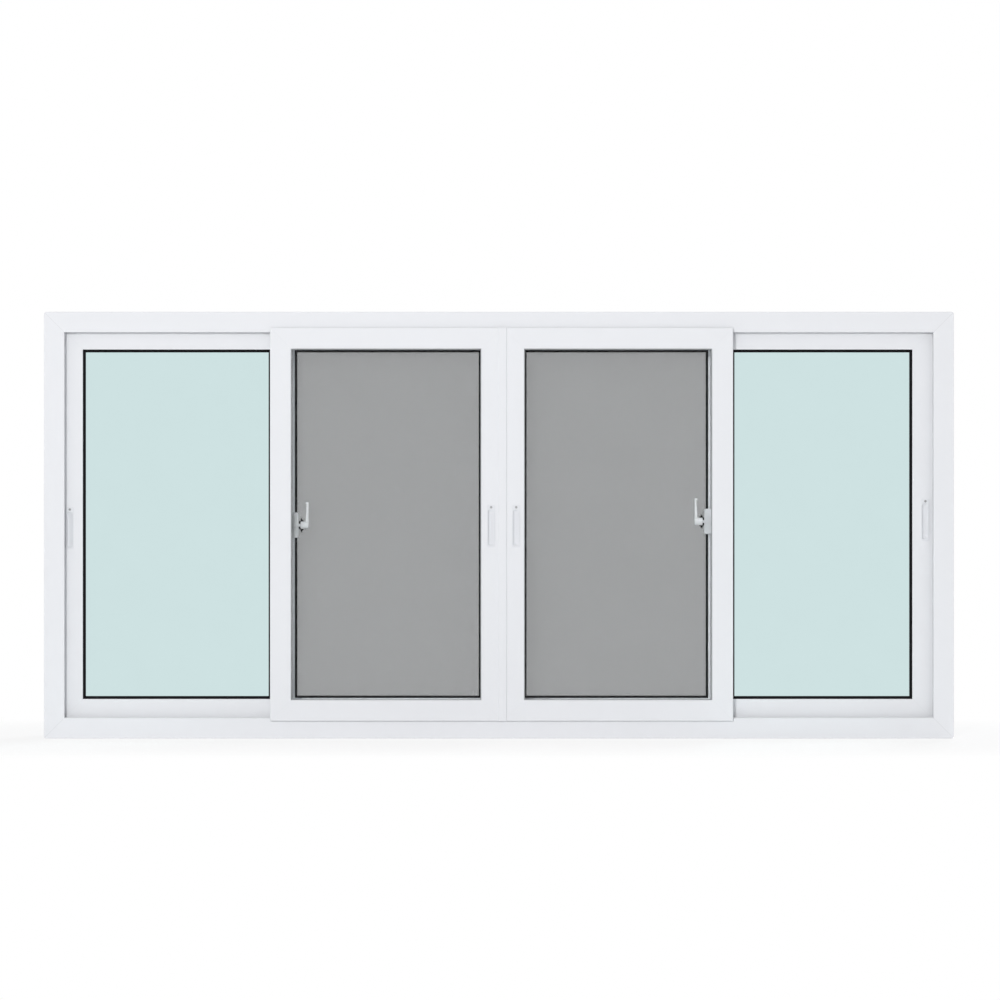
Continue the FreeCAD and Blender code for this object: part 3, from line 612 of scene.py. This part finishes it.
def dress_pulls(moulded, plated):
    """A scoop and a fixing screw for each flush pull, on both faces."""
    for sash in SASHES:
        for side, face in ((OUTDOORS, "outdoor"), (INDOORS, "indoor")):
            low, high = half_box(sash + "_flush_pull", side)
            middle = (low + high) / 2
            face_y = low[1] if side == OUTDOORS else high[1]
            name = sash + "_" + face + "_pull_"
            seat = (middle[0], face_y, middle[2] + SCREW_ABOVE_MIDDLE)
            screw(name + "screw", seat, (0, side, 0), plated)
            recess = middle - np.array([0.0, 0.0, RECESS_DROP])
            scoop(name + "scoop", recess, face_y, side, moulded)


def collar(name, pivot, inward, finish, body):
    """A ring round a lock lever's hub: a rectangle with its outer corners cut, turned about x."""
    cut = COLLAR_CUT
    profile = np.array([
        (0.0, 0.0), (COLLAR_LENGTH, 0.0),
        (COLLAR_LENGTH, COLLAR_WALL - cut), (COLLAR_LENGTH - cut, COLLAR_WALL),
        (cut, COLLAR_WALL), (0.0, COLLAR_WALL - cut),
    ])
    turn = np.linspace(0.0, 2 * math.pi, COLLAR_SIDES + 1)[:-1, None]
    along = profile[:, 0] + COLLAR_PLAY
    radius = HUB_RADIUS + profile[:, 1]
    y = pivot[1] + radius * np.cos(turn)
    z = pivot[2] + radius * np.sin(turn)
    x = np.broadcast_to(pivot[0] + inward * along, y.shape)
    rings = np.stack([x, y, z], -1)
    return closed_surface(name, rings, finish, body, loop=True)


def dress_locks(plated, dark):
    """Fixing screws in each lock's housing and keeper, and a collar round its hub."""
    pivots = {joint["child"]: joint["pos_m"] for joint in frame["joints"]}
    for side, inward in LOCKS:
        body = side + "_lock"
        collar(body + "_collar", pivots[body], inward, dark, body)
        low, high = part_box(side + "_lock_housing")
        middle = (low + high) / 2
        face_x = high[0] if inward > 0 else low[0]
        keeper_low, keeper_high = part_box(side + "_lock_keeper")
        keeper_z = (keeper_low[2] + keeper_high[2]) / 2
        keeper_x = keeper_low[0] if inward > 0 else keeper_high[0]
        keeper_x = keeper_x + inward * KEEPER_SCREW_INSET
        for end, word in ((-1, "lower"), (1, "upper")):
            seat = (face_x, middle[1], middle[2] + end * HOUSING_SCREW_OFFSET)
            screw(side + "_housing_" + word + "_screw", seat, (inward, 0, 0), plated)
            seat = (keeper_x, keeper_high[1], keeper_z + end * KEEPER_SCREW_OFFSET)
            screw(side + "_keeper_" + word + "_screw", seat, (0, INDOORS, 0), plated)


# Studio


def lamp(name, place, size, power):
    """A soft square lamp aimed at the window, which satin faces don't mirror."""
    light = bpy.data.lights.new(name, "AREA")
    light.size = size
    light.energy = power
    made = bpy.data.objects.new(name, light)
    made.location = place
    aim = Vector(LAMP_AIM) - Vector(place)
    made.rotation_euler = aim.to_track_quat("-Z", "Y").to_euler()
    made.visible_glossy = False
    bpy.context.scene.collection.objects.link(made)


def camera():
    """A level camera square to the window, at the photograph's distance."""
    scene = bpy.context.scene
    data = bpy.data.cameras.new("camera")
    data.sensor_width = SENSOR
    data.lens = SENSOR * CAMERA_DISTANCE / VIEW_WIDTH
    made = bpy.data.objects.new("camera", data)
    made.location = (CAMERA_X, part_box("frame_sill")[0][1] - CAMERA_DISTANCE, CAMERA_Z)
    made.rotation_euler = (math.pi / 2, 0.0, 0.0)
    scene.collection.objects.link(made)
    scene.camera = made


def world():
    """An even pale light that the camera, gloss and glass see as white."""
    owner = bpy.data.worlds.new("studio")
    bpy.context.scene.world = owner
    sky = Finish(owner, "ShaderNodeOutputWorld")
    lit = sky.node("ShaderNodeBackground", inputs={"Color": WORLD_COLOUR, "Strength": WORLD_LEVEL})
    white = sky.node("ShaderNodeBackground", inputs={"Color": WHITE, "Strength": 1.0})
    sky.mixed(sky.seen("Camera", "Glossy", "Transmission"), lit.outputs[0], white.outputs[0])


def floor():
    """A pale floor that keeps the window's shadow and turns to plain white away from it."""
    coat = Coat("pale floor")
    x, y, _ = coat.place()
    across = (abs(x) - WINDOW_HALF_WIDTH).most(0.0)
    along = (abs(y) - WINDOW_HALF_DEPTH).most(0.0)
    away = (FLOOR_GLOW + (across * across + along * along) / FLOOR_FADE).least(1.0)
    coat.mottle(coat.noise(cells=6.0, detail=3.0), FLOOR_WHITE, dark=0.99, light=1.01)
    coat.set(Roughness=0.9, Specular_IOR_Level=0.0)
    glow = coat.node("ShaderNodeEmission", inputs={"Color": WHITE, "Strength": 1.0})
    shown = away * coat.seen("Camera", "Glossy", "Transmission")
    coat.mixed(shown, coat.shader.outputs[0], glow.outputs[0])
    columns = FLOOR_TILES + 1
    spread = np.linspace(-FLOOR_HALF, FLOOR_HALF, columns)
    x, y = np.meshgrid(spread, spread)
    points = np.stack([x, y, np.full_like(x, -FLOOR_DROP)], -1).reshape(-1, 3)
    tile = np.arange(FLOOR_TILES)
    corner = (tile[:, None] * columns + tile[None, :]).reshape(-1, 1)
    quads = corner + np.array([0, 1, columns + 1, columns])
    mesh = bpy.data.meshes.new("floor")
    mesh.from_pydata(points.tolist(), [], quads.tolist())
    mesh.materials.append(coat.owner)
    made = bpy.data.objects.new("floor", mesh)
    bpy.context.scene.collection.objects.link(made)


bpy.context.scene.view_settings.view_transform = "Standard"
camera()
world()
lamp("key lamp", KEY_PLACE, KEY_SIZE, KEY_POWER)
lamp("back lamp", BACK_PLACE, BACK_SIZE, BACK_POWER)
floor()
moulded_white = upvc("satin pull", PULL_WHITE)
zinc_plate = metal("zinc plate", ZINC, stretch=(1.0, 1.0, 1.0), smooth=0.30, rough=0.50)
black_steel = blackened()
dress_solids(moulded_white, black_steel)
dress_pulls(moulded_white, zinc_plate)
dress_locks(zinc_plate, black_steel)
